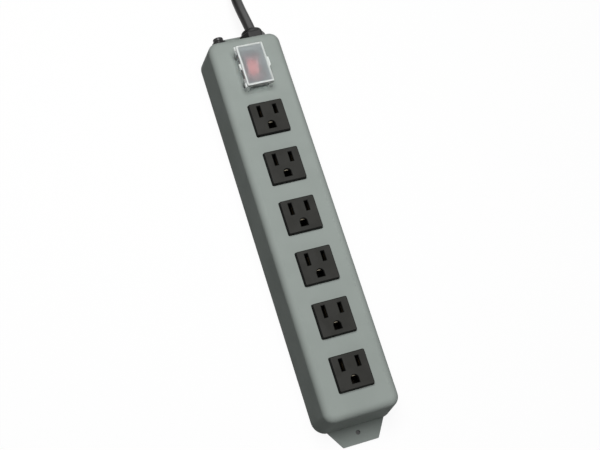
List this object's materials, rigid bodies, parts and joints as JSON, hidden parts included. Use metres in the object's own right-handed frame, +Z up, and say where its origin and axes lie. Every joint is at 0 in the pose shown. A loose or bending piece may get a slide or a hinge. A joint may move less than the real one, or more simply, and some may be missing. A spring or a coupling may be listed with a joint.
{
  "type": "power strip",
  "caption": "Metal power strip with a row of grounded outlets, a hinged guard over its red rocker switch, a push-to-reset breaker, end screw tabs and a grounded mains cord tied in a hank",
  "frame": {"origin": "under the middle of the strip, screw tabs included and free cord left out, on the surface it rests on", "axes": "+X across the strip towards the cord's side, +Y along it towards the switch and cord end, +Z up out of the sockets"},
  "size_m": [0.0851, 0.605, 0.0452],
  "materials": {
    "housing_paint": "baked enamel on steel, grey green",
    "base_paint": "baked enamel on steel, grey green",
    "zinc_steel": "zinc plated",
    "outlet_nylon": "moulded black nylon, fine grain",
    "tray_nylon": "moulded black nylon",
    "contact_brass": "formed brass strip",
    "switch_nylon": "moulded black nylon",
    "rocker_red": "translucent red polycarbonate",
    "lamp_glass": "clear neon lamp",
    "guard_frosted": "frosted clear polycarbonate",
    "breaker_collar": "black nylon",
    "button_plastic": "glossy black plastic",
    "relief_nylon": "black nylon",
    "cord_jacket": "black vinyl jacket, slight sheen",
    "plug_vinyl": "moulded black vinyl",
    "tie_strap": "woven hook-and-loop strap",
    "ground_green": "green dyed zinc",
    "wire_black": "vinyl insulation",
    "wire_white": "vinyl insulation",
    "wire_green": "vinyl insulation"
  },
  "bodies": {
    "strip": {"housing_shell": "housing_paint", "base_plate": "base_paint", "base_screws": "zinc_steel", "outlet_1": "outlet_nylon", "outlet_2": "outlet_nylon", "outlet_3": "outlet_nylon", "outlet_4": "outlet_nylon", "outlet_5": "outlet_nylon", "outlet_6": "outlet_nylon", "live_bus": "contact_brass", "neutral_bus": "contact_brass", "ground_bus": "contact_brass", "bus_tray": "tray_nylon", "switch_case": "switch_nylon", "switch_terminals": "contact_brass", "switch_lamp": "lamp_glass", "guard_frame": "guard_frosted", "guard_hinge_pin": "zinc_steel", "breaker_case": "switch_nylon", "breaker_nut": "breaker_collar", "breaker_terminals": "contact_brass", "strain_relief": "relief_nylon", "relief_locknut": "relief_nylon", "cord_jacket_end": "cord_jacket", "ground_lugs": "zinc_steel", "ground_screw": "ground_green", "wire_cord_to_breaker": "wire_black", "wire_breaker_to_switch": "wire_black", "wire_switch_to_live_bus": "wire_black", "wire_neutral": "wire_white", "wire_ground": "wire_green", "wire_ground_bus": "wire_green", "cord_tube": "cord_jacket", "cord_hank": "cord_jacket", "cord_tail": "cord_jacket", "hank_ties": "tie_strap", "plug_body": "plug_vinyl", "plug_blades": "contact_brass", "plug_ground_pin": "contact_brass"},
    "guard_lid": {"guard_lid": "guard_frosted"},
    "rocker": {"rocker": "rocker_red", "rocker_pin": "zinc_steel"},
    "contact_seesaw": {"contact_seesaw": "contact_brass"},
    "reset_button": {"reset_button": "button_plastic"}
  },
  "joints": [
    {"name": "guard_lid_hinge", "type": "hinge", "parent": "strip", "child": "guard_lid", "pos_m": [-0.0113, 0.126, 0.0426], "axis": [0, -1, 0], "range_deg": [0, 95]},
    {"name": "rocker_rock", "type": "hinge", "parent": "strip", "child": "rocker", "pos_m": [0, 0.126, 0.0345], "axis": [-1, 0, 0], "range_deg": [0, 18]},
    {"name": "seesaw_rock", "type": "hinge", "parent": "strip", "child": "contact_seesaw", "pos_m": [0, 0.126, 0.0272], "axis": [1, 0, 0], "range_deg": [0, 12]},
    {"name": "reset_button_slide", "type": "slide", "parent": "strip", "child": "reset_button", "axis": [0, 0.9962, 0.0872], "range_m": [0, 0.003]}
  ],
  "couplings": [
    {"joint": "seesaw_rock", "follows": "rocker_rock", "ratio": 0.66667}
  ]
}
